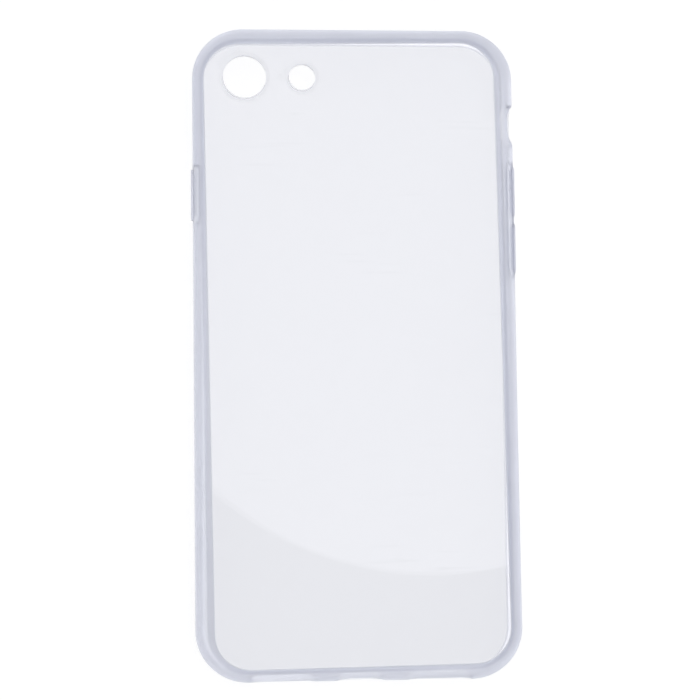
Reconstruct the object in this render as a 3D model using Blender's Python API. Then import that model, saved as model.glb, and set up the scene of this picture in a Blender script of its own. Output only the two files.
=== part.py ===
"""Clear protective case for a slab phone with a 4.7-inch screen.

The case lies on its front lip with its back up: +X is the side of the mute switch and the volume
buttons, +Y is the end of the camera, and +Z points out of the back. The origin is the middle of the
lip's plane. Everything is in metres.

A clear back panel closes a softer frame that wraps the phone's edge. The frame has a front lip, a
cutout for the mute switch, three openings at its foot, and two windows. Each window holds a thin
flexing web, and the pads that press the phone's own buttons move inwards through the web.
"""

import math

import bmesh
import bpy
from mathutils import Matrix, Vector

# The phone that the case is moulded round.
PHONE_WIDTH = 0.0673
PHONE_LENGTH = 0.1384
PHONE_THICKNESS = 0.0073
PHONE_CORNER = 0.0097

# Walls of the case.
WALL = 0.0013
BACK = 0.0012
LIP = 0.0009
GAP = 0.0003

BODY_WIDTH = PHONE_WIDTH + 2 * WALL
BODY_LENGTH = PHONE_LENGTH + 2 * WALL
BODY_CORNER = PHONE_CORNER + WALL
HEIGHT = LIP + PHONE_THICKNESS + BACK
SEAT_Z = HEIGHT - BACK

# The frame's section, as distances inwards from the widest outline and heights above the lip's plane.
BACK_EDGE_INSET = 0.0031
BACK_EDGE_DROP = 0.0032
LIP_EDGE_INSET = 0.0011
LIP_EDGE_RISE = 0.0016
LIP_REACH = 0.00235
LIP_BEAD = 0.00045
FRONT_FILLET = 0.0009
BACK_FILLET = 0.0020

# The panel's flange sits in a rebate behind the frame's back edge.
REBATE_INSET = 0.0022
FLANGE = 0.00045
REBATE_Z = SEAT_Z + FLANGE + GAP

# Holes in the panel: the lens and the flash, each with a low raised rim, and the mould's gate between.
HOLE_Y = BODY_LENGTH / 2 - 0.01115
LENS_X = -0.02375
LENS_RADIUS = 0.00465
FLASH_X = -0.0113
FLASH_RADIUS = 0.00285
RIM_WIDTH = 0.0008
RIM_HEIGHT = 0.00025
RIM_CHAMFER = 0.00015
GATE_X = -0.0161
GATE_RADIUS = 0.0007
GATE_DEPTH = 0.00015

# The pads, on both long sides. Distances along the case run down from its camera end.
BUTTON_Z = 0.0045
PAD_LENGTH = 0.0112
PAD_HEIGHT = 0.0030
PAD_PROUD = 0.0004
PAD_EDGE = 0.0002
PAD_BACK = 0.0009
BOSS_MARGIN = 0.0008
WEB_WIDTH = 0.0005
WEB_THICKNESS = 0.0005
WEB_RECESS = 0.0001
POWER_FROM_TOP = 0.0363
VOLUME_UP_FROM_TOP = 0.03545
VOLUME_DOWN_FROM_TOP = 0.0480

# Openings through the frame, each with its length, its height, the height of its middle and its flare.
MUTE = {"length": 0.0095, "height": 0.0064, "z": 0.0050, "flare": 0.0003}
MUTE_FROM_TOP = 0.0211
SPEAKER = {"length": 0.0146, "height": 0.0054, "z": 0.0051, "flare": 0.0003}
SPEAKER_PLACES = {"left": -0.0165, "right": 0.0170}
PORT = {"length": 0.0104, "height": 0.0066, "z": 0.0051, "flare": 0.0012}

CORNER_STEPS = 8
ARC_STEPS = 5
ROUND_STEPS = 32
GATE_STEPS = 12
CUT_MARGIN = 0.0015


def clear_scene():
    """Remove whatever the file was opened with."""
    for old in list(bpy.data.objects):
        bpy.data.objects.remove(old, do_unlink=True)


def finish(name, colour, roughness, clear):
    """A Principled material for a clear moulded plastic."""
    material = bpy.data.materials.new(name)
    material.use_nodes = True
    shader = material.node_tree.nodes["Principled BSDF"]
    shader.inputs["Base Color"].default_value = (*colour, 1.0)
    shader.inputs["Roughness"].default_value = roughness
    shader.inputs["Metallic"].default_value = 0.0
    shader.inputs["Transmission Weight"].default_value = clear
    return material


def rounded_rectangle(width, length, radius, steps):
    """Corner points of a rounded rectangle about the origin, counter-clockwise."""
    points = []
    for quarter, (side_x, side_y) in enumerate(((1, 1), (-1, 1), (-1, -1), (1, -1))):
        for step in range(steps + 1):
            angle = (quarter + step / steps) * math.pi / 2
            points.append(
                (
                    side_x * (width / 2 - radius) + radius * math.cos(angle),
                    side_y * (length / 2 - radius) + radius * math.sin(angle),
                )
            )
    return points


def circle(radius, steps):
    """Points of a circle about the origin, counter-clockwise."""
    turn = 2 * math.pi / steps
    return [(radius * math.cos(i * turn), radius * math.sin(i * turn)) for i in range(steps)]


def body_outline(inset):
    """The case's outline seen from its back, moved inwards by inset."""
    return rounded_rectangle(
        BODY_WIDTH - 2 * inset, BODY_LENGTH - 2 * inset, BODY_CORNER - inset, CORNER_STEPS
    )


def arc(centre, radii, start, end, steps=ARC_STEPS):
    """Section points (inset, z) along a quarter or part of an ellipse, angles in degrees, ends included."""
    points = []
    for step in range(steps + 1):
        angle = math.radians(start + (end - start) * step / steps)
        points.append(
            (centre[0] + radii[0] * math.cos(angle), centre[1] + radii[1] * math.sin(angle))
        )
    return points


def bridge(bm, lower, upper):
    """Faces between two rings of as many points each."""
    for i, here in enumerate(lower):
        following = (i + 1) % len(lower)
        bm.faces.new((here, lower[following], upper[following], upper[i]))


def add_object(name, bm, material, placing=None):
    """Turn a bmesh into a named object with outward faces, smooth where it is round."""
    bmesh.ops.recalc_face_normals(bm, faces=bm.faces)
    mesh = bpy.data.meshes.new(name)
    bm.to_mesh(mesh)
    bm.free()
    mesh.shade_smooth()
    mesh.set_sharp_from_angle(angle=math.radians(35))
    made = bpy.data.objects.new(name, mesh)
    bpy.context.scene.collection.objects.link(made)
    if material:
        mesh.materials.append(material)
    if placing:
        made.matrix_world = placing
    return made


def sweep_round(name, section, material):
    """Carry a closed section of (inset, z) points round the body's outline."""
    bm = bmesh.new()
    rings = [[bm.verts.new((x, y, z)) for x, y in body_outline(inset)] for inset, z in section]
    for lower, upper in zip(rings, rings[1:] + rings[:1]):
        bridge(bm, lower, upper)
    return add_object(name, bm, material)


def stack(name, layers, material, placing=None):
    """A closed solid of outlines laid over each other: layers are (points, height), lowest first."""
    bm = bmesh.new()
    rings = [[bm.verts.new((x, y, height)) for x, y in points] for points, height in layers]
    for lower, upper in zip(rings, rings[1:]):
        bridge(bm, lower, upper)
    bm.faces.new(rings[0])
    bm.faces.new(rings[-1])
    return add_object(name, bm, material, placing)


def as_cutter(cutter):
    """Mark an object as a tool that is left out of the part."""
    cutter.hide_render = True
    cutter.display_type = "WIRE"
    return cutter


def boolean(target, tool, operation):
    """Cut or join with a live Boolean."""
    modifier = target.modifiers.new(f"{operation.lower()}_{tool.name}", "BOOLEAN")
    modifier.operation = operation
    modifier.solver = "EXACT"
    modifier.object = tool


def facing(point, outward):
    """Placement whose local X runs along the wall, local Y up the wall, and local Z points outward."""
    outward = Vector(outward)
    up = Vector((0, 0, 1))
    along = up.cross(outward)
    turn = Matrix((along, up, outward)).transposed().to_4x4()
    return Matrix.Translation(point) @ turn


def pill(length, height, grow=0.0):
    """Outline of a pad or slot with round ends, grown by the given margin all round."""
    full_length, full_height = length + 2 * grow, height + 2 * grow
    return rounded_rectangle(full_length, full_height, full_height / 2 * 0.98, ARC_STEPS)


def wall_opening(name, opening, placing):
    """Cutter for an opening in the frame's wall, which flares towards the outside."""
    length, height, flare = opening["length"], opening["height"], opening["flare"]
    return as_cutter(
        stack(
            name,
            [
                (pill(length, height), -WALL - CUT_MARGIN),
                (pill(length, height), -WALL / 2),
                (pill(length, height, flare), 0.0),
                (pill(length, height, flare * 1.5), CUT_MARGIN),
            ],
            None,
            placing,
        )
    )


def side_place(side, from_top, z=BUTTON_Z):
    """Placement on a long side's widest line, side +1 for +X and -1 for -X."""
    return facing((side * BODY_WIDTH / 2, BODY_LENGTH / 2 - from_top, z), (side, 0, 0))


def foot_place(x, z):
    """Placement on the widest line of the end away from the camera."""
    return facing((x, -BODY_LENGTH / 2, z), (0, -1, 0))


def frame_section():
    """The frame's closed section: back edge, flank, lip, seat wall, then the panel's rebate."""
    flank_top = HEIGHT - BACK_EDGE_DROP
    rebate_cos = (REBATE_INSET - WALL - BACK_FILLET) / BACK_FILLET
    rebate_angle = math.degrees(math.acos(rebate_cos))
    section = arc((BACK_EDGE_INSET, flank_top), (BACK_EDGE_INSET, BACK_EDGE_DROP), 90, 180, 7)
    section += arc((LIP_EDGE_INSET, LIP_EDGE_RISE), (LIP_EDGE_INSET, LIP_EDGE_RISE), 180, 270)
    section += arc((LIP_REACH - LIP_BEAD, LIP_BEAD), (LIP_BEAD, LIP_BEAD), 270, 360, 3)
    section += [(LIP_REACH, LIP - LIP_BEAD / 3)]
    section += arc((WALL + FRONT_FILLET, LIP + FRONT_FILLET), (FRONT_FILLET,) * 2, 270, 180, 3)
    section += arc((WALL + BACK_FILLET, flank_top), (BACK_FILLET,) * 2, 180, rebate_angle, 3)
    section += [(REBATE_INSET, REBATE_Z), (BACK_EDGE_INSET, REBATE_Z)]
    return section


def make_bumper_frame(material):
    """The soft frame, with its openings and the windows that hold the webs."""
    frame = sweep_round("bumper_frame", frame_section(), material)
    window = WEB_WIDTH + 2 * GAP
    cutters = [
        wall_opening("cut_mute", MUTE, side_place(1, MUTE_FROM_TOP, MUTE["z"])),
        wall_opening("cut_port", PORT, foot_place(0.0, PORT["z"])),
        window_cutter("cut_power_window", -1, [POWER_FROM_TOP], window),
        window_cutter("cut_volume_window", 1, [VOLUME_UP_FROM_TOP, VOLUME_DOWN_FROM_TOP], window),
    ]
    for label, x in SPEAKER_PLACES.items():
        cutters.append(wall_opening(f"cut_speaker_{label}", SPEAKER, foot_place(x, SPEAKER["z"])))
    for cutter in cutters:
        boolean(frame, cutter, "DIFFERENCE")
    return frame


def window_span(places):
    """Middle and length of the row of pads that share a window."""
    middle = (places[0] + places[-1]) / 2
    return middle, places[-1] - places[0] + PAD_LENGTH


def window_cutter(name, side, places, grow):
    """Cutter through the wall round one row of pads."""
    middle, length = window_span(places)
    outline = pill(length, PAD_HEIGHT, grow)
    layers = [(outline, -WALL - CUT_MARGIN), (outline, CUT_MARGIN)]
    return as_cutter(stack(name, layers, None, side_place(side, middle)))


def make_web(name, side, places, material):
    """The thin flexing skin round one row of pads, a hole for each pad."""
    middle, length = window_span(places)
    outline = pill(length, PAD_HEIGHT, WEB_WIDTH + GAP)
    layers = [(outline, -WEB_RECESS - WEB_THICKNESS), (outline, -WEB_RECESS)]
    web = stack(name, layers, material, side_place(side, middle))
    for index, place in enumerate(places):
        hole = pill(PAD_LENGTH, PAD_HEIGHT, GAP)
        tall = [(hole, -WALL - CUT_MARGIN), (hole, CUT_MARGIN)]
        cutter = stack(f"cut_{name}_{index}", tall, None, side_place(side, place))
        boolean(web, as_cutter(cutter), "DIFFERENCE")
    return web


def make_button(name, side, from_top, material):
    """A pad with a rounded face outside and a boss inside that meets the phone's own button."""
    boss = pill(PAD_LENGTH, PAD_HEIGHT, -BOSS_MARGIN)
    pad = pill(PAD_LENGTH, PAD_HEIGHT)
    layers = [
        (boss, -WALL),
        (boss, -PAD_BACK),
        (pad, -PAD_BACK),
        (pad, PAD_PROUD - PAD_EDGE),
        (pill(PAD_LENGTH, PAD_HEIGHT, -PAD_EDGE * 0.3), PAD_PROUD - PAD_EDGE * 0.3),
        (pill(PAD_LENGTH, PAD_HEIGHT, -PAD_EDGE), PAD_PROUD),
    ]
    return stack(name, layers, material, side_place(side, from_top))


def ring_round_hole(name, x, radius):
    """Raised rim round a hole, sunk into the panel so that the union has real overlap."""
    outer = radius + RIM_WIDTH
    layers = [
        (circle(outer, ROUND_STEPS), HEIGHT - BACK / 2),
        (circle(outer, ROUND_STEPS), HEIGHT + RIM_HEIGHT - RIM_CHAMFER),
        (circle(outer - RIM_CHAMFER, ROUND_STEPS), HEIGHT + RIM_HEIGHT),
    ]
    return as_cutter(stack(name, layers, None, Matrix.Translation((x, HOLE_Y, 0))))


def hole_cutter(name, x, radius):
    """Cutter for a hole, chamfered at its outer edge."""
    top = HEIGHT + RIM_HEIGHT
    layers = [
        (circle(radius, ROUND_STEPS), SEAT_Z - CUT_MARGIN),
        (circle(radius, ROUND_STEPS), top - RIM_CHAMFER),
        (circle(radius + RIM_CHAMFER * 2, ROUND_STEPS), top + RIM_CHAMFER),
    ]
    return as_cutter(stack(name, layers, None, Matrix.Translation((x, HOLE_Y, 0))))


def make_back_panel(material):
    """The clear plate: a thin flange behind the frame's edge, two rimmed holes and the gate's dimple."""
    flange = body_outline(REBATE_INSET + GAP)
    plate = body_outline(BACK_EDGE_INSET + GAP)
    panel = stack(
        "back_panel",
        [(flange, SEAT_Z), (flange, SEAT_Z + FLANGE), (plate, SEAT_Z + FLANGE), (plate, HEIGHT)],
        material,
    )
    for label, x, radius in (("lens", LENS_X, LENS_RADIUS), ("flash", FLASH_X, FLASH_RADIUS)):
        boolean(panel, ring_round_hole(f"add_{label}_rim", x, radius), "UNION")
        boolean(panel, hole_cutter(f"cut_{label}_hole", x, radius), "DIFFERENCE")
    dimple = [
        (circle(GATE_RADIUS / 2, GATE_STEPS), HEIGHT - GATE_DEPTH),
        (circle(GATE_RADIUS * 2, GATE_STEPS), HEIGHT + 3 * GATE_DEPTH),
    ]
    gate = stack("cut_gate", dimple, None, Matrix.Translation((GATE_X, HOLE_Y, 0)))
    boolean(panel, as_cutter(gate), "DIFFERENCE")
    return panel


def main():
    """Build the case, one object for each piece."""
    clear_scene()
    clear_plate = finish("clear_plate", (0.93, 0.94, 0.97), 0.05, 1.0)
    clear_elastomer = finish("clear_elastomer", (0.84, 0.86, 0.93), 0.12, 1.0)
    make_back_panel(clear_plate)
    make_bumper_frame(clear_elastomer)
    make_web("power_button_web", -1, [POWER_FROM_TOP], clear_elastomer)
    make_web("volume_button_web", 1, [VOLUME_UP_FROM_TOP, VOLUME_DOWN_FROM_TOP], clear_elastomer)
    make_button("power_button", -1, POWER_FROM_TOP, clear_elastomer)
    make_button("volume_up_button", 1, VOLUME_UP_FROM_TOP, clear_elastomer)
    make_button("volume_down_button", 1, VOLUME_DOWN_FROM_TOP, clear_elastomer)


main()
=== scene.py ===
"""Looks of a clear protective case for a slab phone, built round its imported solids.

The case lies on its front lip with its back up: +X is the side of the mute cutout and the volume
pads, +Y is the end of the lens hole, and +Z points out of the back. Sizes are metres. Every surface
is a grid of points worked out as whole arrays.
"""

from __future__ import annotations

import logging
import math
from dataclasses import dataclass, field
from enum import Enum

import bpy
import numpy as np
from mathutils import Matrix, Vector


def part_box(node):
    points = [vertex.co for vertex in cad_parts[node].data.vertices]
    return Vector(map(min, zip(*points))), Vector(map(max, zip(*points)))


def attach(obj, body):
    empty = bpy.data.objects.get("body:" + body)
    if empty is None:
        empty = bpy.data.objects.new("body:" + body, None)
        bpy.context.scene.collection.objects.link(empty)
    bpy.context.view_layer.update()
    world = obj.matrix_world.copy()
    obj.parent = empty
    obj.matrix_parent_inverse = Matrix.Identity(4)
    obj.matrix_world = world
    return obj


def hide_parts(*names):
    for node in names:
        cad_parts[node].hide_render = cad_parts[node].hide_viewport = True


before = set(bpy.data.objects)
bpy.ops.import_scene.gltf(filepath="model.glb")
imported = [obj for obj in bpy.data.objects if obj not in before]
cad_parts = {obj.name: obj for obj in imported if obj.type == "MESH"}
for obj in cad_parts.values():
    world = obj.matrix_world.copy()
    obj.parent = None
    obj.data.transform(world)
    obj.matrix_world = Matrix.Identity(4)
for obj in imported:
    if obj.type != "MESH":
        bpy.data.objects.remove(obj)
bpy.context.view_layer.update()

log = logging.getLogger("phone_case")

Array = np.ndarray
Pair = tuple[float, float]
Thing = bpy.types.Object
Socket = bpy.types.NodeSocket
CASE_BODY = "case_shell"
SKIN_DEPTH = 0.00015  # how deep under the outer surface the skin's tint and painted shade reach
WINDOW_ROOM = 0.00026  # how much larger than a packed web its window is, all round
DUST_GREY = (0.5, 0.5, 0.5, 1.0)


class Side(Enum):
    """A wall of the case, by the direction that it faces."""

    MUTE = (1.0, 0.0)
    POWER = (-1.0, 0.0)
    FOOT = (0.0, -1.0)


def arc(centre: Pair, radii: Pair, start: float, end: float, steps: int) -> Array:
    """Points along part of an ellipse: centre + (rx cos a, ry sin a), a running evenly from start to end.

    Args:
        centre: Middle of the ellipse in the section's plane.
        radii: Its two half axes.
        start: First angle, in degrees.
        end: Last angle, in degrees.
        steps: Number of equal steps between the two.

    Returns:
        An array of (steps + 1, 2) points.
    """
    angle = np.radians(np.linspace(start, end, steps + 1))
    return np.stack([centre[0] + radii[0] * np.cos(angle), centre[1] + radii[1] * np.sin(angle)], axis=1)


def straight(first: Pair, last: Pair, steps: int) -> Array:
    """Points evenly along a straight run, its two ends left out.

    Args:
        first: Where the run starts.
        last: Where it ends.
        steps: Number of equal steps that the run is cut into.

    Returns:
        An array of (steps - 1, 2) points.
    """
    share = np.linspace(0.0, 1.0, steps + 1)[1:-1, None]
    return np.asarray(first) * (1 - share) + np.asarray(last) * share


def grid_quads(rows: int, columns: int, wrap_rows: bool) -> Array:
    """Corner numbers of the quads of a grid whose columns run round a loop.

    Args:
        rows: Number of loops.
        columns: Points on each loop.
        wrap_rows: Whether the last loop also joins the first.

    Returns:
        An integer array of (quads, 4).
    """
    here = np.arange(rows if wrap_rows else rows - 1)
    row, column = np.meshgrid(here, np.arange(columns), indexing="ij")
    above, beside = (row + 1) % rows, (column + 1) % columns
    lower = [row * columns + column, row * columns + beside]
    upper = [above * columns + beside, above * columns + column]
    return np.stack([*lower, *upper], axis=-1).reshape(-1, 4)


def signed_volume(points: Array, quads: Array) -> float:
    """Volume under the quads by the divergence theorem: a sixth of the sum of their triple products.

    Args:
        points: Vertices, (n, 3).
        quads: Corner numbers, (m, 4).

    Returns:
        The volume, positive when the faces point outwards. Flat caps add little and are left out.
    """
    a, b, c, d = (points[quads[:, k]] for k in range(4))
    return float((np.cross(b - a, c - a) * a).sum() + (np.cross(c - a, d - a) * a).sum()) / 6


def new_object(name: str, points: Array, quads: Array, caps: tuple[Array, ...] = ()) -> Thing:
    """Put a grid into a mesh object, faces outwards, shaded smooth except at true edges.

    Args:
        name: Name of the piece.
        points: Vertices, (n, 3).
        quads: Corner numbers of the quads, (m, 4).
        caps: Loops of corner numbers, each closed by one flat face.

    Returns:
        The object, linked to the scene, at the origin.
    """
    loops = [quads.reshape(-1), *caps]
    if signed_volume(points - points.mean(axis=0), quads) < 0:
        loops = [quads[:, ::-1].reshape(-1), *[cap[::-1] for cap in caps]]
    corners = np.concatenate(loops).astype(np.int32)
    sizes = np.concatenate([np.full(len(quads), 4), [len(cap) for cap in caps]]).astype(np.int32)
    mesh = bpy.data.meshes.new(name)
    mesh.vertices.add(len(points))
    mesh.vertices.foreach_set("co", np.ascontiguousarray(points, np.float32).reshape(-1))
    mesh.loops.add(len(corners))
    mesh.loops.foreach_set("vertex_index", corners)
    mesh.polygons.add(len(sizes))
    starts = np.concatenate([[0], np.cumsum(sizes)[:-1]]).astype(np.int32)
    mesh.polygons.foreach_set("loop_start", starts)
    mesh.update(calc_edges=True)
    mesh.validate()
    made = bpy.data.objects.new(name, mesh)
    bpy.context.scene.collection.objects.link(made)
    return made


def solid_of_loops(name: str, loops: Array, ring: bool = False) -> Thing:
    """Skin a stack of loops, and close both its ends or join its last loop to its first.

    Args:
        name: Name of the piece.
        loops: Points as (rows, columns, 3).
        ring: Whether the stack closes on itself like a tyre instead of having two ends.

    Returns:
        The closed solid.
    """
    rows, columns = loops.shape[:2]
    ends = (np.arange(columns)[::-1], (rows - 1) * columns + np.arange(columns))
    quads = grid_quads(rows, columns, wrap_rows=ring)
    return new_object(name, loops.reshape(-1, 3), quads, () if ring else ends)


def settle(piece: Thing) -> None:
    """Make what a piece's modifiers give its own mesh, and drop the modifiers.

    Args:
        piece: The piece.
    """
    graph = bpy.context.evaluated_depsgraph_get()
    made = bpy.data.meshes.new_from_object(piece.evaluated_get(graph))
    piece.modifiers.clear()
    old, piece.data = piece.data, made
    bpy.data.meshes.remove(old)
    made.name = piece.name


def carve(target: Thing, tools: dict[str, list[Thing]]) -> None:
    """Join and cut a piece with Booleans, settle the result as its mesh, and remove the tools.

    Args:
        target: The piece.
        tools: Tools under "UNION" and "DIFFERENCE", used in that order.
    """
    for operation in ("UNION", "DIFFERENCE"):
        for tool in tools.get(operation, []):
            modifier = target.modifiers.new(tool.name, "BOOLEAN")
            modifier.operation, modifier.solver, modifier.object = operation, "EXACT", tool
    settle(target)
    for tool in [tool for kind in tools.values() for tool in kind]:
        bpy.data.objects.remove(tool, do_unlink=True)


def smooth(piece: Thing, sharp_degrees: float = 38.0) -> Thing:
    """Shade a piece smooth: flat faces keep their normals and narrow ones turn between them.

    Args:
        piece: The piece.
        sharp_degrees: Edges steeper than this stay sharp.

    Returns:
        The same piece.
    """
    piece.data.shade_smooth()
    piece.data.set_sharp_from_angle(angle=math.radians(sharp_degrees))
    weighing = piece.modifiers.new("weighing", "WEIGHTED_NORMAL")
    weighing.mode, weighing.weight, weighing.keep_sharp = "FACE_AREA", 80, True
    settle(piece)
    return piece


def points_of(piece: Thing) -> Array:
    """A piece's vertices.

    Args:
        piece: The piece.

    Returns:
        Their places, (n, 3).
    """
    points = np.empty(len(piece.data.vertices) * 3, np.float32)
    piece.data.vertices.foreach_get("co", points)
    return points.reshape(-1, 3).astype(float)


def mark_shaded_skin(piece: Thing, depth: Array, foot: float = 0.0016) -> None:
    """Write the attribute "skin": 1 on the outer skin, whose tint is partly the plastic's own and partly
    painted shade, 0 on inner and cut faces.

    It is 1 - depth / SKIN_DEPTH, held to 0..1, and falls to a quarter towards the lip's foot, where the
    painted shade is lighter.

    Args:
        piece: The piece.
        depth: How deep each vertex lies under the piece's outer surface.
        foot: Height under which the skin thins out.
    """
    height = points_of(piece)[:, 2]
    share = np.clip(1.0 - depth / SKIN_DEPTH, 0.0, 1.0) * np.clip(height / foot, 0.25, 1.0)
    skin = piece.data.attributes.new("skin", "FLOAT", "POINT")
    skin.data.foreach_set("value", share.astype(np.float32))


@dataclass(frozen=True)
class Outline:
    """A rounded rectangle kept as its core and its normals, so that any offset of it is one sum.

    A point at inset d is core + (corner - d) * normal. The core runs round a smaller rectangle, and
    stands still at its corners while the normal turns.

    Attributes:
        half_width: Half its width along X.
        half_length: Half its length along Y.
        corner: Radius of its corners.
        corner_steps: Steps round each quarter turn.
        side_step: Longest step along a straight side.
    """

    half_width: float
    half_length: float
    corner: float
    corner_steps: int = 36
    side_step: float = 0.0012

    def stations(self) -> tuple[Array, Array]:
        """Core points and unit normals round the outline, counter-clockwise.

        Returns:
            Two arrays of (stations, 2).
        """
        core_x, core_y = self.half_width - self.corner, self.half_length - self.corner
        corners = np.array([(1, 1), (-1, 1), (-1, -1), (1, -1)]) * (core_x, core_y)
        cores, normals = [], []
        for quarter in range(4):
            here, after = corners[quarter], corners[(quarter + 1) % 4]
            turn = np.radians(90.0 * quarter + np.linspace(0.0, 90.0, self.corner_steps + 1))
            cores.append(np.repeat(here[None], len(turn), axis=0))
            normals.append(np.stack([np.cos(turn), np.sin(turn)], axis=1))
            steps = max(1, math.ceil(np.linalg.norm(after - here) / self.side_step))
            run = straight(tuple(here), tuple(after), steps)
            cores.append(run)
            normals.append(np.repeat(normals[-1][-1:], len(run), axis=0))
        return np.concatenate(cores), np.concatenate(normals)

    def carry(self, section: Array) -> Array:
        """Carry a section round the outline: row i is the loop at that section point's inset and height.

        Args:
            section: Section points (inset, height), (rows, 2).

        Returns:
            Points as (rows, stations, 3).
        """
        core, normal = self.stations()
        flat = core[None] + (self.corner - section[:, 0])[:, None, None] * normal[None]
        height = np.broadcast_to(section[:, 1][:, None, None], (*flat.shape[:2], 1))
        return np.concatenate([flat, height], axis=2)

    def inset_of(self, points: Array) -> Array:
        """How far inside points lie: corner - |q+| - min(max q, 0), q being |xy| less the core's corner.

        Args:
            points: Points as (..., 3).

        Returns:
            Their insets.
        """
        core = np.array([self.half_width - self.corner, self.half_length - self.corner])
        over = np.abs(points[..., :2]) - core
        outside = np.linalg.norm(np.maximum(over, 0.0), axis=-1)
        return self.corner - outside - np.minimum(over.max(axis=-1), 0.0)


def pill(length: float, height: float, steps: int = 14) -> Outline:
    """Outline of a slot or pad with round ends, all but full quarter turns at its corners."""
    return Outline(length / 2, height / 2, height / 2 * 0.98, steps, length)


def lathe(profile: Array, centre: Pair, steps: int = 96) -> Array:
    """Turn a profile about an upright axis: row i is a circle of its radius at its height.

    Args:
        profile: Points (radius, height), (rows, 2).
        centre: Place of the axis.
        steps: Points on each circle.

    Returns:
        Points as (rows, steps, 3).
    """
    turn = np.linspace(0.0, 2 * math.pi, steps, endpoint=False)
    radius = profile[:, 0][:, None]
    height = np.broadcast_to(profile[:, 1][:, None], (len(profile), steps))
    circles = [centre[0] + radius * np.cos(turn), centre[1] + radius * np.sin(turn)]
    return np.stack([*circles, height], axis=2)


def stand_on_wall(loops: Array, side: Side, distance: float, along: float, height: float) -> Array:
    """Turn loops laid out flat (X along the wall, Y up it, Z outwards) and set them on a wall.

    Args:
        loops: Points as (rows, columns, 3).
        side: The wall.
        distance: How far that wall's widest line stands from the middle of the case.
        along: Place along the wall, on X for the foot and on Y for the long sides.
        height: Height of the loops' own middle.

    Returns:
        The placed points, in the same order.
    """
    outward = np.array([*side.value, 0.0])
    upward = np.array([0.0, 0.0, 1.0])
    across = np.cross(upward, outward)
    origin = outward * distance + np.abs(across) * along + upward * height
    return origin + loops[..., :1] * across + loops[..., 1:2] * upward + loops[..., 2:] * outward


@dataclass(frozen=True)
class Twist:
    """The set that the soft case has taken: its back edge stands a little turned against its lip.

    Attributes:
        start: Height where the twist begins.
        end: Height where it is whole.
        turn: Angle of the back face about the upright axis, in radians.
        lean: Shift of the back face.
    """

    start: float
    end: float
    turn: float = 0.0145
    lean: Pair = (-0.0002, -0.0003)

    def apply(self, points: Array) -> Array:
        """Turn and shift points by their height's share of the whole.

        Args:
            points: Points as (..., 3).

        Returns:
            The twisted points, at their own heights.
        """
        share = self.share(points[..., 2])
        cos, sin = np.cos(self.turn * share), np.sin(self.turn * share)
        x, y = points[..., 0], points[..., 1]
        turned = [cos * x - sin * y + self.lean[0] * share, sin * x + cos * y + self.lean[1] * share]
        return np.stack([*turned, points[..., 2]], axis=-1)

    def share(self, height: Array) -> Array:
        """Share of the twist at a height: t^2 (3 - 2t), t running from 0 at start to 1 at end."""
        t = np.clip((height - self.start) / (self.end - self.start), 0.0, 1.0)
        return t * t * (3 - 2 * t)

    def undo(self, points: Array) -> Array:
        """Take the twist off again, the shift first and then the turn.

        Args:
            points: Points as (..., 3).

        Returns:
            The points as they stood before it.
        """
        share = self.share(points[..., 2])
        cos, sin = np.cos(self.turn * share), np.sin(self.turn * share)
        x, y = points[..., 0] - self.lean[0] * share, points[..., 1] - self.lean[1] * share
        return np.stack([cos * x + sin * y, cos * y - sin * x, points[..., 2]], axis=-1)


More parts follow.
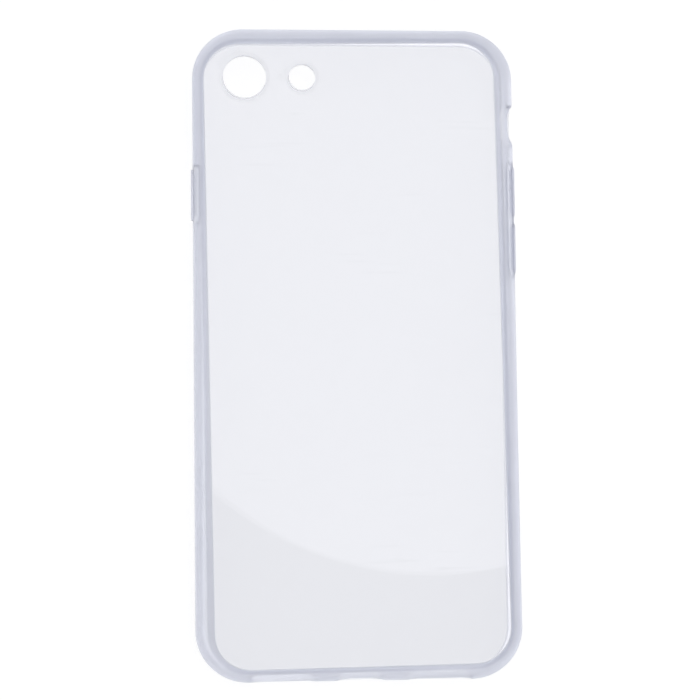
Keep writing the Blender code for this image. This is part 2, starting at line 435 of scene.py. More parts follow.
@dataclass(frozen=True)
class CaseSizes:
    """Sizes that the sub-assemblies share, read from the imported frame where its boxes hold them.

    Attributes:
        half_width: Half the frame's width at its widest line.
        half_length: Half its length.
        height: Height of the back face.
        seat: Height of the inner face of the back.
        corner: Radius of the outline's corners.
        wall: Thickness of the flank.
        lip: Thickness of the front lip.
        edge_inset: How far in the rounded back edge reaches, which is where the panel's seam shows.
        edge_drop: How far down it reaches.
        back_fillet: Radius inside, between wall and back.
        rebate: How far in the wall behind the panel's flange stands.
        cover: Thickness of the frame's edge over that flange.
        seam: Fine gap left between two moulded pieces.
    """

    half_width: float
    half_length: float
    height: float
    seat: float
    corner: float = 0.0110
    wall: float = 0.0013
    lip: float = 0.0009
    edge_inset: float = 0.0034
    edge_drop: float = 0.0032
    back_fillet: float = 0.0020
    rebate: float = 0.0022
    cover: float = 0.00045
    seam: float = 0.00004

    @classmethod
    def from_frame(cls) -> "CaseSizes":
        """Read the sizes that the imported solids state.

        Returns:
            The case's sizes.
        """
        low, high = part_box("bumper_frame")
        panel_low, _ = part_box("back_panel")
        return cls((high.x - low.x) / 2, (high.y - low.y) / 2, high.z, panel_low.z)

    @property
    def outline(self) -> Outline:
        """The case's outline at its widest line."""
        return Outline(self.half_width, self.half_length, self.corner)

    @property
    def shoulder(self) -> float:
        """Height where the flank ends and the back edge's curve begins."""
        return self.height - self.edge_drop

    @property
    def twist(self) -> Twist:
        """The case's twist, which runs over the back edge's curve."""
        return Twist(self.shoulder, self.height)

    @property
    def through(self) -> Array:
        """Section (inset, depth) of a straight cutter that passes right through a wall."""
        return np.array([[0.0, -3 * self.wall], [0.0, self.wall]])

    def carry(self, section: Array) -> Array:
        """Carry a section of (inset, height) round the outline, and give it the case's twist."""
        return self.twist.apply(self.outline.carry(section))

    def stud(self, name: str, node: str, side: Side, room: float, section: Array) -> Thing:
        """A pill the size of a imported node, carried through its wall by a section.

        Args:
            name: Name of the new piece.
            node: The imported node.
            side: The wall that the node stands in.
            room: How much larger the pill is than the node, all round.
            section: Points (inset, depth), the depth running outwards from the wall's widest line.

        Returns:
            The closed solid.
        """
        low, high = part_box(node)
        outline = pill(high.y - low.y + 2 * room, high.z - low.z + 2 * room)
        middle = (low.y + high.y) / 2, (low.z + high.z) / 2
        return solid_of_loops(name, stand_on_wall(outline.carry(section), side, self.half_width, *middle))

    def fillet(self, start: float, end: float, steps: int) -> Array:
        """Part of the fillet between wall and back, as section points from one inset to another.

        Args:
            start: Inset of its first point, no less than the wall's thickness.
            end: Inset of its last point, at most a fillet's radius further in than the wall.
            steps: Number of steps.

        Returns:
            Points (inset, height) on the quarter ellipse that rises from wall to seat.
        """
        reach = self.back_fillet
        middle, rise = self.wall + reach, self.seat - self.shoulder
        first, last = (math.degrees(math.acos((inset - middle) / reach)) for inset in (start, end))
        return arc((middle, self.shoulder), (reach, rise), first, last, steps)


@dataclass
class Moulding:
    """A sub-assembly that is moulded in one plastic.

    Attributes:
        sizes: The case's shared sizes.
        pieces: Its finished pieces.
        body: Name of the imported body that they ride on.
        slot: Name of the record's material slot.
    """

    sizes: CaseSizes
    pieces: list[Thing] = field(default_factory=list, kw_only=True)
    body: str = field(default=CASE_BODY, kw_only=True)
    slot: str = field(default="clear_elastomer", kw_only=True)

    def stand_for(self, piece: Thing, node: str) -> None:
        """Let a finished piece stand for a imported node."""
        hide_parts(node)
        self.pieces.append(smooth(piece))

    def dress(self, finish: bpy.types.Material) -> None:
        """Give the pieces their finish, the body that they ride on and the record's slot.

        Args:
            finish: Their material.
        """
        for piece in self.pieces:
            piece.data.materials.clear()
            piece.data.materials.append(finish)
            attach(piece, self.body)
            log.info("%s: %d faces, rides on %s", piece.name, len(piece.data.polygons), self.body)


@dataclass(frozen=True)
class Hole:
    """A round hole in the back, with its raised rim.

    Attributes:
        x: Place across the case.
        radius: Radius of the hole.
    """

    x: float
    radius: float


@dataclass
class BackPanel(Moulding):
    """The clear plate: flange, flat faces, two rimmed holes and the mould's gate.

    Attributes:
        hole_y: Height of both holes' centres up the case.
        holes: The lens hole and the flash hole.
        rim_width: Width of the raised rim round a hole.
        rim_height: How far it stands above the back.
        rim_foot: How far under the back its side begins.
        mouth_round: Radius of a hole's mouths.
        gate_x: Place of the gate's dimple.
        gate_radius: Radius of the dimple.
        gate_depth: Depth of the dimple.
        edge_round: Radius of the plate's upper edge.
        sink: Depth to which the moulded faces have sunk in their middle.
        face_starts: Shares of the way to the middle at which a face's first two rows lie, close to its
            edge so that the normals are flat from there on.
        face_end: Share of that way at which its last row lies.
    """

    slot: str = field(default="clear_plate", kw_only=True)
    hole_y: float = 0.05935
    holes: tuple[Hole, Hole] = (Hole(-0.02375, 0.00465), Hole(-0.0113, 0.00285))
    rim_width: float = 0.0010
    rim_height: float = 0.00025
    rim_foot: float = 0.00002
    mouth_round: float = 0.00004
    gate_x: float = -0.0161
    gate_radius: float = 0.0007
    gate_depth: float = 0.00012
    edge_round: float = 0.00012
    sink: float = 0.00002
    face_starts: Pair = (0.0004, 0.0012)
    face_end: float = 0.985

    def face(self, height: float, inset: float, outwards: bool, sink: float) -> Array:
        """One flat face as loops: the outline scaled by 1 - s, its height raised by sink * sin(s pi / 2).

        Args:
            height: Height of the face at its edge.
            inset: Inset of that edge.
            outwards: Whether the rows run from the middle to the edge.
            sink: How far the middle stands above the edge, or below it where negative.

        Returns:
            Points as (rows, stations, 3), the edge's own loop left out.
        """
        edge = self.sizes.carry(np.array([[inset, height]]))[0]
        share = np.concatenate([self.face_starts, np.linspace(0.0, self.face_end, 14)[1:]])
        loops = np.repeat(edge[None], len(share), axis=0)
        loops[:, :, :2] *= (1.0 - share)[:, None, None]
        loops[:, :, 2] += (sink * np.sin(share * math.pi / 2))[:, None]
        return loops[::-1] if outwards else loops

    def plate(self) -> Thing:
        """The plate with its flange, before the holes.

        Returns:
            The closed solid.
        """
        s = self.sizes
        flange, plate = s.rebate + s.seam, s.edge_inset + s.seam
        shelf = s.height - s.cover - s.seam
        rim = self.edge_round
        under_edge = s.wall + s.back_fillet
        section = np.concatenate(
            [
                s.fillet(flange, under_edge, 8)[::-1],
                [(flange, shelf), (plate, shelf)],
                straight((plate, shelf), (plate, s.height - rim), 2),
                arc((plate + rim, s.height - rim), (rim, rim), 180, 90, 5),
            ]
        )
        edge = s.carry(section)
        under = self.face(s.seat, under_edge, outwards=True, sink=self.sink)
        over = self.face(s.height, plate + rim, outwards=False, sink=-self.sink)
        return solid_of_loops("back_plate", np.concatenate([under, edge, over]))

    def rim(self, hole: Hole) -> Thing:
        """Raised rim of a hole, turned about its axis: its side climbs as t^2 (3 - 2t) over its width.

        Args:
            hole: The hole.

        Returns:
            The closed ring.
        """
        share = np.linspace(0.0, 1.0, 13)
        foot, top = self.sizes.height - self.rim_foot, self.sizes.height + self.rim_height
        radius = hole.radius + self.rim_width * (1.0 - share)
        side = np.stack([radius, foot + (top - foot) * share**2 * (3 - 2 * share)], axis=1)
        inner, buried = hole.radius - self.rim_width / 2, self.sizes.height - self.rim_width / 2
        ends = [(inner, top), (inner, buried), (hole.radius + self.rim_width, buried)]
        profile = np.concatenate([side, ends])
        return solid_of_loops("rim_tool", lathe(profile, (hole.x, self.hole_y)), ring=True)

    def bore(self, hole: Hole) -> Thing:
        """Cutter of a hole, rounded over at both mouths.

        Args:
            hole: The hole.

        Returns:
            The closed cutter.
        """
        s, r = self.sizes, self.mouth_round
        top = s.height + self.rim_height
        profile = np.concatenate(
            [
                [(hole.radius + 2 * r, s.seat - r)],
                arc((hole.radius + r, s.seat + r), (r, r), 270, 180, 4),
                arc((hole.radius + r, top - r), (r, r), 180, 90, 4),
                [(hole.radius + 2 * r, top + r)],
            ]
        )
        return solid_of_loops("bore_tool", lathe(profile, (hole.x, self.hole_y)))

    def gate(self) -> Thing:
        """Cutter of the gate's dimple: depth falls off as the square of the distance from its middle.

        Returns:
            The closed cutter.
        """
        share = np.linspace(0.05, 1.6, 9)
        height = self.sizes.height - self.gate_depth * (1 - share**2)
        profile = np.stack([self.gate_radius * share, height], axis=1)
        return solid_of_loops("gate_tool", lathe(profile, (self.gate_x, self.hole_y), 40))

    def build(self) -> None:
        """Make the panel's mesh."""
        plate = self.plate()
        cuts = [*map(self.bore, self.holes), self.gate()]
        carve(plate, {"UNION": [*map(self.rim, self.holes)], "DIFFERENCE": cuts})
        self.stand_for(plate, "back_panel")


@dataclass(frozen=True)
class Opening:
    """A round-ended opening through a wall of the frame.

    Attributes:
        side: The wall.
        along: Its middle along the wall.
        length: Its length.
        height: Its height.
        middle: Height of its middle.
        flare: How much wider it is at the outside than inside.
        depth: How deep the flare reaches.
    """

    side: Side
    along: float
    length: float
    height: float
    middle: float
    flare: float = 0.0003
    depth: float = 0.0003


@dataclass
class BumperFrame(Moulding):
    """The soft frame: rounded back edge, flank with its parting line, front lip and openings.

    Attributes:
        lip_reach: How far in the lip's edge stands.
        lip_bead: Radius of that edge.
        lip_edge: How far in and how far up the curve between lip and flank reaches.
        corner_round: Radius of the small corners at the seam and the lip's upper edge.
        front_fillet: Radius inside, between lip and wall.
        parting: Height of the mould's parting line on the flank.
        parting_ridge: How far the line stands proud.
        parting_width: Half width of the ridge.
        openings: The openings for the mute switch, the speakers and the plug.
    """

    lip_reach: float = 0.00235
    lip_bead: float = 0.00045
    lip_edge: Pair = (0.0011, 0.0016)
    corner_round: float = 0.00010
    front_fillet: float = 0.0009
    parting: float = 0.0024
    parting_ridge: float = 0.00003
    parting_width: float = 0.00012
    openings: tuple[Opening, ...] = (
        Opening(Side.MUTE, 0.0494, 0.0095, 0.0064, 0.0050),
        Opening(Side.FOOT, -0.0165, 0.0146, 0.0054, 0.0051),
        Opening(Side.FOOT, 0.0170, 0.0146, 0.0054, 0.0051),
        Opening(Side.FOOT, 0.0, 0.0104, 0.0066, 0.0051, 0.0012, 0.0007),
    )

    def flank(self, top: float, bottom: float) -> Array:
        """The flank from top to bottom, with a bell-shaped ridge exp(-(z - parting)^2 / width^2) on it.

        Args:
            top: Height where the back edge's curve ends.
            bottom: Height where the lip's curve begins.

        Returns:
            Section points (inset, height).
        """
        coarse = np.linspace(top, bottom, 12)
        fine = self.parting + self.parting_width * np.linspace(-2.5, 2.5, 9)
        height = np.sort(np.concatenate([coarse, fine]))[::-1]
        ridge = np.exp(-(((height - self.parting) / self.parting_width) ** 2))
        return np.stack([self.parting_ridge * (1.0 - ridge), height], axis=1)

    def section(self) -> Array:
        """The frame's closed section: back edge, flank, lip, seat wall, then the panel's rebate.

        Returns:
            Points (inset, height), (rows, 2).
        """
        s = self.sizes
        top = s.shoulder
        edge, rise = self.lip_edge
        inner = s.wall + self.front_fillet
        r = self.corner_round
        return np.concatenate(
            [
                arc((s.edge_inset - r, s.height - r), (r, r), 0, 75, 3),
                arc((s.edge_inset, top), (s.edge_inset - self.parting_ridge, s.edge_drop), 92, 176, 22),
                self.flank(top, rise),
                arc((edge, rise), (edge - self.parting_ridge, rise), 186, 270, 10),
                arc((self.lip_reach - self.lip_bead, self.lip_bead), (self.lip_bead,) * 2, 270, 360, 7),
                arc((self.lip_reach - r, s.lip - r), (r, r), 0, 90, 3),
                arc((inner, s.lip + self.front_fillet), (self.front_fillet,) * 2, 270, 180, 7),
                straight((s.wall, s.lip + self.front_fillet), (s.wall, top), 6),
                s.fillet(s.wall, s.rebate, 10),
                straight((s.rebate, s.seat), (s.rebate, s.height - s.cover), 3),
                [(s.rebate, s.height - s.cover)],
                straight((s.rebate, s.height - s.cover), (s.edge_inset, s.height - s.cover), 3),
                [(s.edge_inset, s.height - s.cover)],
            ]
        )

    def opening_tool(self, opening: Opening) -> Thing:
        """Cutter of an opening: pill loops that grow by flare * (1 - sqrt(1 - t^2)) over the flare's depth.

        Args:
            opening: The opening.

        Returns:
            The closed cutter, standing in its wall.
        """
        share = np.linspace(0.0, 1.0, 9)
        inside, outside = -3 * self.sizes.wall, 2 * opening.depth
        depth = np.concatenate([[inside], opening.depth * (share - 1.0), [outside]])
        steepest = 0.9999  # the last t^2, short of 1 so that the flare's last step isn't upright
        curve = opening.flare * (1.0 - np.sqrt(1.0 - steepest * share**2))
        grow = np.concatenate([[0.0], curve, [curve[-1] * 2]])
        loops = pill(opening.length, opening.height).carry(np.stack([-grow, depth], axis=1))
        distance = self.sizes.half_length if opening.side is Side.FOOT else self.sizes.half_width
        placed = stand_on_wall(loops, opening.side, distance, opening.along, opening.middle)
        return solid_of_loops("opening_tool", placed)

    def build(self) -> None:
        """Make the frame's mesh, with a window for each web, a seam's width larger than the web."""
        s = self.sizes
        ring = solid_of_loops("bumper", s.carry(self.section()), ring=True)
        tools = [*map(self.opening_tool, self.openings)]
        for web, side in (("power_button_web", Side.POWER), ("volume_button_web", Side.MUTE)):
            tools.append(s.stud("window_tool", web, side, WINDOW_ROOM, s.through))
        carve(ring, {"DIFFERENCE": tools})
        self.stand_for(ring, "bumper_frame")
        # the frame's outer skin gets its tint and painted shade
        mark_shaded_skin(ring, self.depth_of(points_of(ring)))

    def depth_of(self, points: Array) -> Array:
        """How deep points lie inside the outer surface, whose inset over the back edge is an ellipse's.

        Args:
            points: Points as (n, 3).

        Returns:
            Their insets less the outer surface's inset at their own heights.
        """
        s = self.sizes
        inset = s.outline.inset_of(s.twist.undo(points))
        (reach, rise), height = self.lip_edge, points[:, 2]
        over = np.clip((height - s.shoulder) / s.edge_drop, 0.0, 1.0)
        under = np.clip(1.0 - height / rise, 0.0, 1.0)
        outer = s.edge_inset * (1.0 - np.sqrt(1.0 - over**2)) + reach * (1.0 - np.sqrt(1.0 - under**2))
        return inset - outer


@dataclass
class WallPiece(Moulding):
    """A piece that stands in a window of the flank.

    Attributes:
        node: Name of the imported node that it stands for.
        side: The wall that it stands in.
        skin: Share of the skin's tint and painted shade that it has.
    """

    node: str
    side: Side
    skin: float = field(default=0.15, kw_only=True)

    def keep(self, piece: Thing) -> None:
        """Let a piece stand for the node, with an even share of the skin's tint and painted shade."""
        self.stand_for(piece, self.node)
        mark_shaded_skin(piece, np.full(len(piece.data.vertices), SKIN_DEPTH * (1.0 - self.skin)))


@dataclass
class ButtonPad(WallPiece):
    """A press-through pad: a crowned pill with a rounded edge outside and a boss inside.

    Attributes:
        edge: Radius of the outer edge.
        crown: How far the middle of the face stands above its edge.
        face_reach: Share of the pad's half height at which the face's last row lies.
        boss_margin: How much smaller the boss is than the pad.
        boss_depth: How deep inside the boss begins.
        boss_edge: Width of the small bevels on the boss and the pad's inner edge.
    """

    edge: float = 0.00022
    crown: float = 0.00006
    face_reach: float = 0.93
    boss_margin: float = 0.0008
    boss_depth: float = 0.0009
    boss_edge: float = 0.00008

    def build(self) -> None:
        """Make the pad: a pill that steps in and out, its face rising by crown * (1 - (1 - s)^2)."""
        low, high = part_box(self.node)
        wall, small = self.sizes.wall, self.boss_edge
        proud = max(high.x, -low.x) - self.sizes.half_width - self.crown
        share = np.linspace(0.0, 1.0, 8)[1:]
        reach = (high.z - low.z) / 2 * self.face_reach - self.edge
        face = np.stack([self.edge + reach * share, proud + self.crown * (1 - (1 - share) ** 2)], axis=1)
        section = np.concatenate(
            [
                [(self.boss_margin + small, -wall)],
                [(self.boss_margin, -wall + small), (self.boss_margin, -self.boss_depth)],
                [(small, -self.boss_depth), (0.0, small - self.boss_depth)],
                arc((self.edge, proud - self.edge), (self.edge, self.edge), 180, 90, 6),
                face,
            ]
        )
        name = self.node.replace("button", "pad")
        self.keep(self.sizes.stud(name, self.node, self.side, 0.0, section))


@dataclass
class ButtonWeb(WallPiece):
    """The thin skin round one row of pads.

    Attributes:
        pads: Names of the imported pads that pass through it.
        edge: Radius of its outer edge.
    """

    pads: tuple[str, ...]
    edge: float = 0.0001

    def build(self) -> None:
        """Make the skin, and cut a hole for each pad."""
        s, r = self.sizes, self.edge
        low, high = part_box(self.node)
        outer = max(high.x, -low.x) - s.half_width
        inner = outer - (high.x - low.x)
        rounding = arc((r, outer - r), (r, r), 180, 90, 4)
        section = np.concatenate([[(r, inner), (0.0, inner + r)], rounding])
        name = self.node.replace("button_", "")
        web = s.stud(name, self.node, self.side, WINDOW_ROOM - s.seam, section)
        cuts = [s.stud("pad_tool", pad, self.side, s.seam, s.through) for pad in self.pads]
        carve(web, {"DIFFERENCE": cuts})
        self.keep(web)


@dataclass
class Graph:
    """A node tree and short ways to add to it.

    Attributes:
        tree: The tree.
    """

    tree: bpy.types.NodeTree

    def add(self, kind: str, inputs: dict[str, object] | None = None, **settings: object) -> bpy.types.Node:
        """Add a node.

        Args:
            kind: Its Blender type, without the leading "ShaderNode".
            inputs: Values or sockets for its inputs, by name or number.
            settings: Values of the node's own properties.

        Returns:
            The node.
        """
        node = self.tree.nodes.new(f"ShaderNode{kind}")
        for name, value in settings.items():
            setattr(node, name, value)
        for name, value in (inputs or {}).items():
            if isinstance(value, Socket):
                self.link(value, node.inputs[name])
            else:
                node.inputs[name].default_value = value
        return node

    def link(self, source: Socket, target: Socket) -> None:
        """Link an output to an input."""
        self.tree.links.new(source, target)

    def math(self, operation: str, first: object, second: object = 0.0) -> Socket:
        """A Math node's result."""
        return self.add("Math", {0: first, 1: second}, operation=operation).outputs[0]

    def noise(self, place: Socket, scale: object, detail: float) -> Socket:
        """A Noise Texture's value."""
        return self.add("TexNoise", {"Vector": place, "Scale": scale, "Detail": detail}).outputs[0]

    def spread(self, value: Socket, **limits: float) -> Socket:
        """A Map Range node's result, its limits given with _ for a space."""
        named = {name.replace("_", " "): limit for name, limit in limits.items()}
        return self.add("MapRange", {"Value": value, **named}).outputs[0]

    def effect(self, effect: Effect, place: Socket, **values: object) -> Socket:
        """Put a shared effect into a material.

        Args:
            effect: The effect.
            place: Coordinates that it reads.
            values: The group's other inputs, with _ for a space.

        Returns:
            The group's output.
        """
        named = {name.replace("_", " "): value for name, value in values.items()}
        return self.add("Group", {"Coordinates": place, **named}, node_tree=effect.group()).outputs[0]


def new_group(name: str, inputs: tuple[str, ...], output: str) -> tuple[Graph, dict[str, Socket]]:
    """Start a node group: one vector input called Coordinates, further plain inputs, and one output.

    Args:
        name: Name of the group.
        inputs: Names of its plain inputs.
        output: Name of its output.

    Returns:
        A graph to fill, and the group's inputs by name, with its one output under "out".
    """
    tree = bpy.data.node_groups.new(name, "ShaderNodeTree")
    tree.interface.new_socket("Coordinates", in_out="INPUT", socket_type="NodeSocketVector")
    for each in inputs:
        tree.interface.new_socket(each, in_out="INPUT", socket_type="NodeSocketFloat")
    tree.interface.new_socket(output, in_out="OUTPUT", socket_type="NodeSocketFloat")
    start, end = tree.nodes.new("NodeGroupInput"), tree.nodes.new("NodeGroupOutput")
    sockets = {socket.name: socket for socket in start.outputs if socket.name}
    return Graph(tree), {**sockets, "out": end.inputs[output]}


class Effect(Enum):
    """The surface effects that finishes share, each by the name of its node group."""

    RIPPLE = "moulding_ripple"
    RUBS = "handling_rubs"
    DUST = "fine_dust"
    BLOOM = "skin_bloom"

    def group(self) -> bpy.types.NodeTree:
        """The effect's node group, built at its first use."""
        build = {Effect.RIPPLE: ripple, Effect.RUBS: rubs, Effect.DUST: dust, Effect.BLOOM: shade_mottle}[self]
        return bpy.data.node_groups.get(self.value) or build(self.value)


def ripple(name: str) -> bpy.types.NodeTree:
    """Slow waves of a moulded face and a finer grain on them, as a height in metres.

    Args:
        name: Name of the group.

    Returns:
        The node group.
    """
    graph, at = new_group(name, ("Scale", "Height", "Grain Scale", "Grain Height"), "Height")
    waves = graph.noise(at["Coordinates"], at["Scale"], 1.0)
    grain = graph.noise(at["Coordinates"], at["Grain Scale"], 2.0)
    slow = graph.math("MULTIPLY", waves, at["Height"])
    fine = graph.math("MULTIPLY", grain, at["Grain Height"])
    graph.link(graph.math("ADD", slow, fine), at["out"])
    return graph.tree


def rubs(name: str) -> bpy.types.NodeTree:
    """Hairline rubs in three directions: peaks of a noise stretched thirty times, kept only in patches.

    Args:
        name: Name of the group.

    Returns:
        The node group.
    """
    stretch, edge, patch_scale = (1.0, 30.0, 1.0), 0.04, 60.0
    graph, at = new_group(name, ("Scale", "Amount"), "Mask")
    lines = None
    for turn, level in ((0.4, 0.66), (1.25, 0.68), (2.3, 0.7)):
        turned = {"Vector": at["Coordinates"], "Rotation": (0.0, 0.0, turn), "Scale": stretch}
        noise = graph.noise(graph.add("Mapping", turned).outputs[0], at["Scale"], 1.0)
        line = graph.spread(noise, From_Min=level, From_Max=level + edge)
        lines = line if lines is None else graph.math("MAXIMUM", lines, line)
    patches = graph.noise(at["Coordinates"], patch_scale, 2.0)
    kept = graph.math("MULTIPLY", lines, graph.spread(patches, From_Min=0.4, From_Max=0.65))
    graph.link(graph.math("MULTIPLY", kept, at["Amount"]), at["out"])
    return graph.tree


def dust(name: str) -> bpy.types.NodeTree:
    """Specks: the middles of Voronoi cells, kept where a cell's random number is under the amount.

    Args:
        name: Name of the group.

    Returns:
        The node group.
    """
    core, rim = 0.08, 0.2
    graph, at = new_group(name, ("Scale", "Amount"), "Mask")
    cells = graph.add("TexVoronoi", {"Vector": at["Coordinates"], "Scale": at["Scale"]})
    chance = graph.add("SeparateXYZ", {0: cells.outputs["Color"]}).outputs["X"]
    kept = graph.math("LESS_THAN", chance, at["Amount"])
    speck = graph.spread(cells.outputs["Distance"], From_Min=core, From_Max=rim, To_Min=1.0, To_Max=0.0)
    graph.link(graph.math("MULTIPLY", kept, speck), at["out"])
    return graph.tree


def shade_mottle(name: str) -> bpy.types.NodeTree:
    """How strong the skin's tint and painted shade are: skin * (1 + variation * (noise - 1/2)), in mottled
    patches.

    Args:
        name: Name of the group.

    Returns:
        The node group.
    """
    graph, at = new_group(name, ("Skin", "Scale", "Variation"), "Share")
    patches = graph.noise(at["Coordinates"], at["Scale"], 3.0)
    swing = graph.math("MULTIPLY", graph.math("SUBTRACT", patches, 0.5), at["Variation"])
    share = graph.math("MULTIPLY", at["Skin"], graph.math("ADD", swing, 1.0))
    graph.link(share, at["out"])
    return graph.tree


@dataclass(frozen=True)
class ClearFinish:
    """A clear moulded plastic: tinted by its depth, tinted and painted with shade at its skin, rippled,
    rubbed and dusty.

    Attributes:
        name: Name of the material.
        tint: Colour that inner and cut surfaces pass.
        skin: Colour that the outer skin passes, partly the plastic's tint and partly painted shade.
        roughness: Roughness of the clean surface.
        ior: Index of refraction.
        absorbed: What each metre takes off in red, green and blue, as natural logarithms.
        ripple: Scale and height of the moulding's waves, then scale and height of its grain.
        rub_scale: Scale of the hairline rubs.
        rub_rough: How much a rub or a speck roughens the surface.
        dust_scale: Scale of the cells that may hold a speck.
        dust_amount: Share of those cells that hold one.
        dust_cover: How much of the surface's colour a speck greys.
        shade_mottle_scale: Scale of the patches in the skin's tint and painted shade.
        variation: How much the skin's tint and painted shade vary.
    """

    name: str
    tint: tuple[float, float, float]
    skin: tuple[float, float, float]
    roughness: float
    ior: float
    absorbed: tuple[float, float, float]
    ripple: tuple[float, float, float, float]
    rub_scale: float = 45.0
    rub_rough: float = 0.12
    dust_scale: float = 700.0
    dust_amount: float = 0.05
    dust_cover: float = 0.12
    shade_mottle_scale: float = 70.0
    variation: float = 0.25

    def material(self) -> bpy.types.Material:
        """Make the finish's material.

        Returns:
            The material.
        """
        made = bpy.data.materials.new(self.name)
        made.use_nodes = True
        graph = Graph(made.node_tree)
        shader = made.node_tree.nodes["Principled BSDF"]
        shader.inputs["IOR"].default_value = self.ior
        shader.inputs["Transmission Weight"].default_value = 1.0
        place = graph.add("TexCoord").outputs["Object"]
        rubbed = graph.effect(Effect.RUBS, place, Scale=self.rub_scale, Amount=1.0)
        specks = graph.effect(Effect.DUST, place, Scale=self.dust_scale, Amount=self.dust_amount)
        # the skin attribute mixes in the skin colour, partly the plastic's tint and partly painted shade
        skin = graph.add("Attribute", attribute_name="skin").outputs["Fac"]
        mottle = {"Skin": skin, "Scale": self.shade_mottle_scale, "Variation": self.variation}
        share = graph.effect(Effect.BLOOM, place, **mottle)
        tints = {0: share, 6: (*self.tint, 1.0), 7: (*self.skin, 1.0)}
        tinted = graph.add("Mix", tints, data_type="RGBA").outputs[2]
        dulled = {0: graph.math("MULTIPLY", specks, self.dust_cover), 6: tinted, 7: DUST_GREY}
        graph.link(graph.add("Mix", dulled, data_type="RGBA").outputs[2], shader.inputs["Base Color"])
        worn = graph.math("MULTIPLY", graph.math("MAXIMUM", rubbed, specks), self.rub_rough)
        graph.link(graph.math("ADD", worn, self.roughness), shader.inputs["Roughness"])
        names = ("Scale", "Height", "Grain_Scale", "Grain_Height")
        waves = graph.effect(Effect.RIPPLE, place, **dict(zip(names, self.ripple)))
        bump = graph.add("Bump", {"Height": waves, "Strength": 1.0, "Distance": 1.0})
        graph.link(bump.outputs[0], shader.inputs["Normal"])
        # A volume takes off density * (1 - colour): its strongest channel gets the colour 0.1.
        density = max(self.absorbed) / 0.9
        colour = tuple(1.0 - a / density for a in self.absorbed)
        volume = graph.add("VolumeAbsorption", {"Color": (*colour, 1.0), "Density": density})
        graph.link(volume.outputs[0], made.node_tree.nodes["Material Output"].inputs["Volume"])
        return made


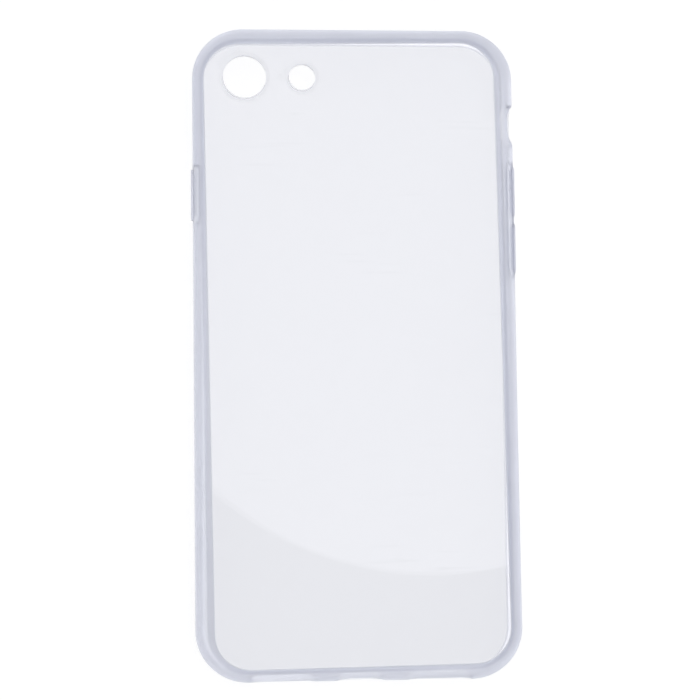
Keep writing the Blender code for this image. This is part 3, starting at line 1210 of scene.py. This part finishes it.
@dataclass
class Studio:
    """Floor, soft light and camera.

    Attributes:
        eye: Place of the camera.
        target: Point that it looks at.
        roll: How far it is turned about its line of sight, in degrees.
        lens: Focal length on a 36 mm sensor, in millimetres.
        disc_height: Height of the round overhead light.
        disc_centre: Its middle.
        disc_radius: Its radius.
        disc_watts: Its power.
        floor_half: Half the floor's side.
        floor_tone: The floor's reflectance.
        floor_glow: Light that the floor gives of its own, as an opal table does.
        floor_grain: Scale of the floor's fine grain.
        floor_vary: How much that grain changes the reflectance, up and down.
        backdrop: Brightness of the backdrop beyond the floor, as the camera sees it.
        tent: Brightness of the light tent round the case, as (sine of elevation, brightness) pairs.
    """

    eye: Vector = field(default_factory=lambda: Vector((-0.04687, -0.04668, 0.50068)))
    target: Vector = field(default_factory=lambda: Vector((-0.00123, 0.00038, 0.0050)))
    roll: float = -0.713
    lens: float = 118.9
    disc_height: float = 1.0
    disc_centre: Pair = (0.144, 0.164)
    disc_radius: float = 0.215
    disc_watts: float = 0.61
    floor_half: float = 6.0
    floor_tone: float = 0.45
    floor_glow: float = 0.742
    floor_grain: float = 900.0
    floor_vary: float = 0.005
    backdrop: float = 1.05
    tent: tuple[Pair, ...] = ((0.0, 0.6), (0.3, 0.7), (0.85, 0.7), (0.95, 0.3))

    def floor(self) -> None:
        """A plain pale floor under the case: one square, wide enough for every view."""
        h = self.floor_half
        points = np.array([[(-h, -h, 0.0), (h, -h, 0.0)], [(-h, h, 0.0), (h, h, 0.0)]]).reshape(-1, 3)
        floor = new_object("floor", points, np.array([[0, 1, 3, 2]]))
        paper = bpy.data.materials.new("floor_opal")
        paper.use_nodes = True
        graph = Graph(paper.node_tree)
        grain = graph.noise(graph.add("TexCoord").outputs["Object"], self.floor_grain, 2.0)
        low, high = self.floor_tone - self.floor_vary, self.floor_tone + self.floor_vary
        shader = paper.node_tree.nodes["Principled BSDF"]
        graph.link(graph.spread(grain, To_Min=low, To_Max=high), shader.inputs["Base Color"])
        shader.inputs["Roughness"].default_value = 0.95
        shader.inputs["Specular IOR Level"].default_value = 0.0
        shader.inputs["Emission Color"].default_value = (1.0, 1.0, 1.0, 1.0)
        shader.inputs["Emission Strength"].default_value = self.floor_glow
        floor.data.materials.append(paper)

    def light(self) -> None:
        """An even light tent with a darker patch straight overhead, and a round soft light beside that."""
        world = bpy.data.worlds.new("tent")
        world.use_nodes = True
        bpy.context.scene.world = world
        graph = Graph(world.node_tree)
        height = graph.add("SeparateXYZ", {0: graph.add("TexCoord").outputs["Generated"]}).outputs["Z"]
        ramp = graph.add("ValToRGB", {"Fac": height})
        top = max(tone for _, tone in self.tent)
        for index, (sine, tone) in enumerate(self.tent):
            stop = ramp.color_ramp.elements[0] if index == 0 else ramp.color_ramp.elements.new(sine)
            stop.position, stop.color = sine, (*(tone / top,) * 3, 1.0)
        ramp.color_ramp.elements.remove(ramp.color_ramp.elements[-1])
        seen = graph.add("LightPath").outputs["Is Camera Ray"]
        tent = graph.math("MULTIPLY", ramp.outputs["Color"], top)
        strength = graph.add("Mix", {0: seen, 2: tent, 3: self.backdrop}, data_type="FLOAT").outputs[0]
        shader = world.node_tree.nodes["Background"]
        graph.link(strength, shader.inputs["Strength"])
        shader.inputs["Color"].default_value = (1.0, 1.0, 1.0, 1.0)
        data = bpy.data.lights.new("overhead_disc", "AREA")
        data.shape, data.size, data.energy = "DISK", 2 * self.disc_radius, self.disc_watts
        lamp = bpy.data.objects.new("overhead_disc", data)
        lamp.location = (*self.disc_centre, self.disc_height)
        bpy.context.scene.collection.objects.link(lamp)

    def camera(self) -> None:
        """A long lens almost straight above the back."""
        data = bpy.data.cameras.new("camera")
        data.lens, data.sensor_width, data.clip_start, data.clip_end = self.lens, 36.0, 0.01, 100.0
        camera = bpy.data.objects.new("camera", data)
        back = (self.eye - self.target).normalized()
        right = Vector((0.0, 1.0, 0.0)).cross(back).normalized()
        turn = Matrix((right, back.cross(right), back)).transposed().to_4x4()
        roll = Matrix.Rotation(math.radians(self.roll), 4, "Z")
        camera.matrix_world = Matrix.Translation(self.eye) @ turn @ roll
        bpy.context.scene.collection.objects.link(camera)
        bpy.context.scene.camera = camera

    def build(self) -> None:
        """Set the whole studio."""
        self.camera()
        self.floor()
        self.light()
        bpy.context.scene.view_settings.view_transform = "Standard"
        cycles = bpy.context.scene.cycles
        cycles.blur_glossy = 0.0
        cycles.max_bounces = cycles.transmission_bounces = 32


def main() -> None:
    """Build the studio and the case, and report each piece."""
    logging.basicConfig(level=logging.INFO, format="%(name)s: %(message)s")
    Studio().build()
    sizes = CaseSizes.from_frame()
    plate = ClearFinish(
        name="clear_plate",
        # the tint is partly the plate's own and partly painted shade that greys the floor seen through it
        tint=(0.848, 0.852, 0.873),
        skin=(0.848, 0.852, 0.873),
        roughness=0.0,
        ior=1.36,
        absorbed=(20.0, 18.0, 6.0),
        ripple=(90.0, 4e-7, 1500.0, 5e-9),
    )
    soft = ClearFinish(
        name="clear_elastomer",
        tint=(0.915, 0.92, 0.945),
        # the skin colour is partly the elastomer's lilac tint and partly painted shade on the rounded rim
        skin=(0.575, 0.59, 0.65),
        roughness=0.34,
        ior=1.21,
        absorbed=(12.0, 11.0, 5.0),
        ripple=(200.0, 1e-5, 2500.0, 2e-7),
        rub_rough=0.1,
    )
    materials = {finish.name: finish.material() for finish in (plate, soft)}
    volume_pads = ("volume_up_button", "volume_down_button")
    parts = [
        BackPanel(sizes),
        BumperFrame(sizes),
        ButtonWeb(sizes, "power_button_web", Side.POWER, ("power_button",)),
        ButtonWeb(sizes, "volume_button_web", Side.MUTE, volume_pads),
        ButtonPad(sizes, "power_button", Side.POWER, body="power_pad"),
        ButtonPad(sizes, "volume_up_button", Side.MUTE, body="volume_up_pad"),
        ButtonPad(sizes, "volume_down_button", Side.MUTE, body="volume_down_pad"),
    ]
    for part in parts:
        part.build()
        part.dress(materials[part.slot])


if __name__ == "__main__":
    main()
